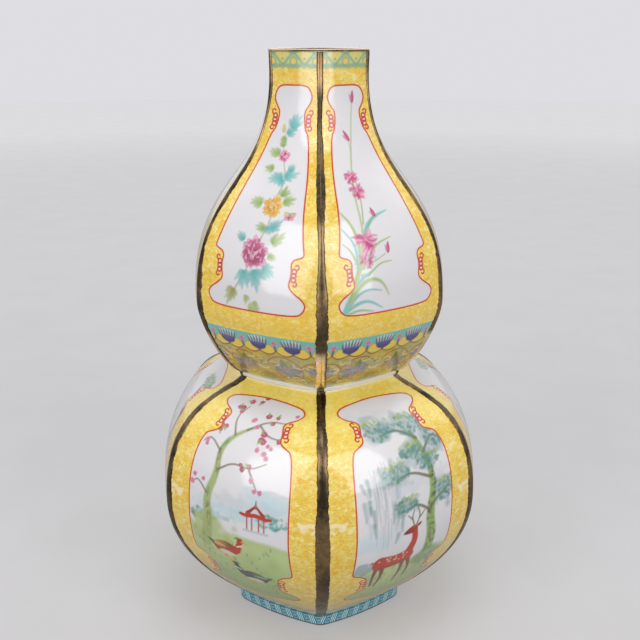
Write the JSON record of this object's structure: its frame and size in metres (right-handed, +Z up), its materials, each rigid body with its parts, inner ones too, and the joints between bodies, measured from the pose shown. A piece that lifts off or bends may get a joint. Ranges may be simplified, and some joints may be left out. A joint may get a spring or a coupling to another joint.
{
  "type": "double gourd vase",
  "caption": "Six-sided double gourd vase of bowed porcelain slabs with a slim neck, gilded corners, painted reserves on a yellow ground and a hexagonal foot ring.",
  "frame": {"origin": "middle of the standing face of the foot ring", "axes": "+Z up along the vase's axis, a corner towards -Y, panels facing +X and -X"},
  "size_m": [0.183, 0.197, 0.3203],
  "materials": {
    "painted_porcelain": "gloss glaze, yellow enamel ground with white reserves",
    "white_glaze": "gloss white glaze",
    "foot_enamel": "gloss turquoise enamel with a fret",
    "gilding": "brushed liquid gold, worn"
  },
  "bodies": {
    "root": {"lower_panel_1": "painted_porcelain", "upper_panel_1": "painted_porcelain", "lower_gilt_band_1": "gilding", "upper_gilt_band_1": "gilding", "lower_panel_2": "painted_porcelain", "upper_panel_2": "painted_porcelain", "lower_gilt_band_2": "gilding", "upper_gilt_band_2": "gilding", "lower_panel_3": "painted_porcelain", "upper_panel_3": "painted_porcelain", "lower_gilt_band_3": "gilding", "upper_gilt_band_3": "gilding", "lower_panel_4": "painted_porcelain", "upper_panel_4": "painted_porcelain", "lower_gilt_band_4": "gilding", "upper_gilt_band_4": "gilding", "lower_panel_5": "painted_porcelain", "upper_panel_5": "painted_porcelain", "lower_gilt_band_5": "gilding", "upper_gilt_band_5": "gilding", "lower_panel_6": "painted_porcelain", "upper_panel_6": "painted_porcelain", "lower_gilt_band_6": "gilding", "upper_gilt_band_6": "gilding", "base_plate": "white_glaze", "waist_seam": "white_glaze", "foot_ring": "foot_enamel", "lip_gilding": "gilding"}
  },
  "joints": []
}
